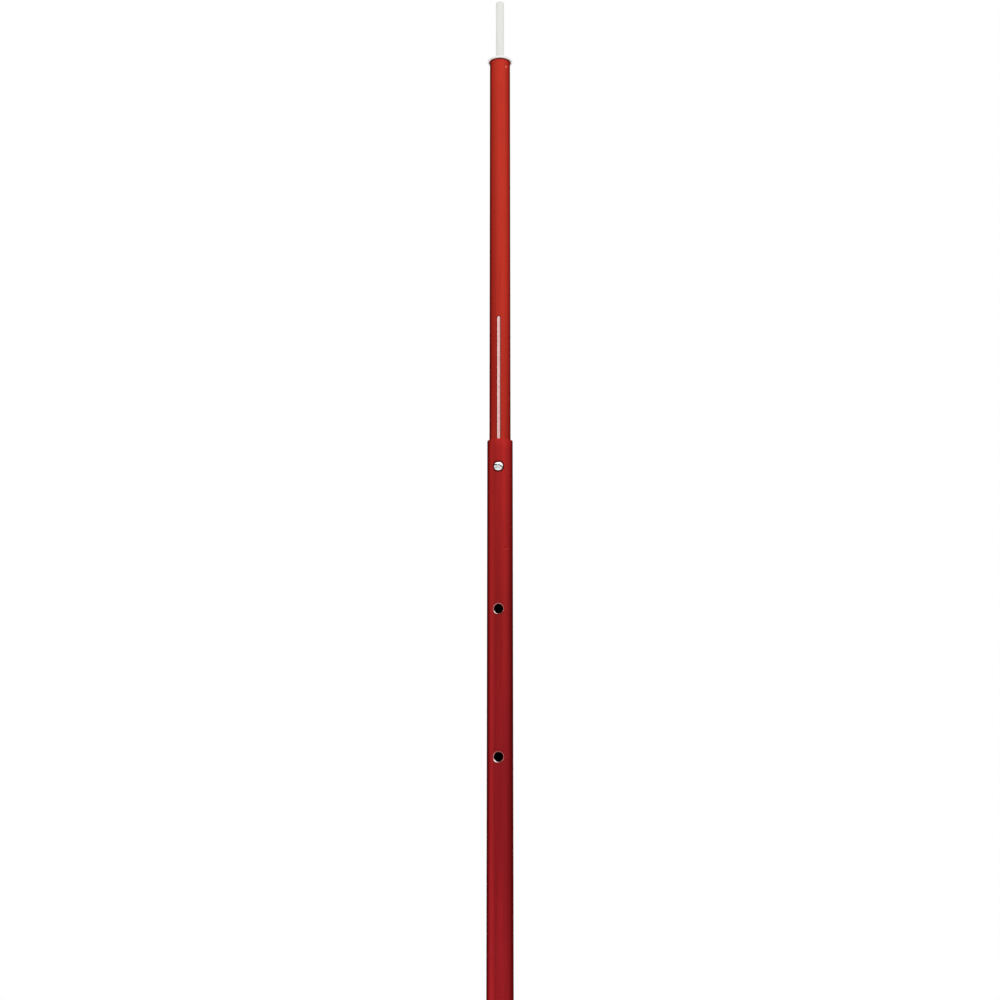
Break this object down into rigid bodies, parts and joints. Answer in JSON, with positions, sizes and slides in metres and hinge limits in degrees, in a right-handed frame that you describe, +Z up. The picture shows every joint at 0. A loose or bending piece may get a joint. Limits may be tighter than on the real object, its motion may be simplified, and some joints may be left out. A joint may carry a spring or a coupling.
{
  "type": "telescopic windsock pole",
  "caption": "Telescopic red anodised aluminium windsock pole with a snap button, adjusting holes and a white cap and spindle on top.",
  "frame": {"origin": "on the pole's axis, at the underside of the foot bush", "axes": "+Z up along the pole's axis, from the foot to the spindle; the snap button and the adjusting holes face -Y"},
  "size_m": [0.0184, 0.0197, 1.095],
  "materials": {
    "red_anodised_aluminium": "satin anodised",
    "bare_aluminium": "machined",
    "white_moulded_plastic": "moulded, slightly glossy",
    "white_glass_fibre_rod": "ground rod, satin",
    "black_moulded_plastic": "moulded",
    "spring_steel": "rolled strip",
    "bright_nickel_steel": "polished, nickel plated"
  },
  "bodies": {
    "lower_assembly": {"lower_tube": "red_anodised_aluminium", "foot_bush": "black_moulded_plastic"},
    "upper_assembly": {"upper_tube": "red_anodised_aluminium", "inner_end_bush": "black_moulded_plastic", "top_cap": "white_moulded_plastic", "spindle_rod": "white_glass_fibre_rod", "button_spring": "spring_steel"},
    "button": {"snap_button": "bright_nickel_steel"}
  },
  "joints": [
    {"name": "telescope", "type": "slide", "parent": "lower_assembly", "child": "upper_assembly", "axis": [0, 0, 1], "range_m": [-0.2, 0], "deforming": ["snap_button"]},
    {"name": "button_press", "type": "slide", "parent": "upper_assembly", "child": "button", "axis": [0, 1, 0], "range_m": [0, 0.004], "stiffness_N_per_m": 1500, "springref_m": -0.004, "deforming": ["button_spring"]}
  ]
}
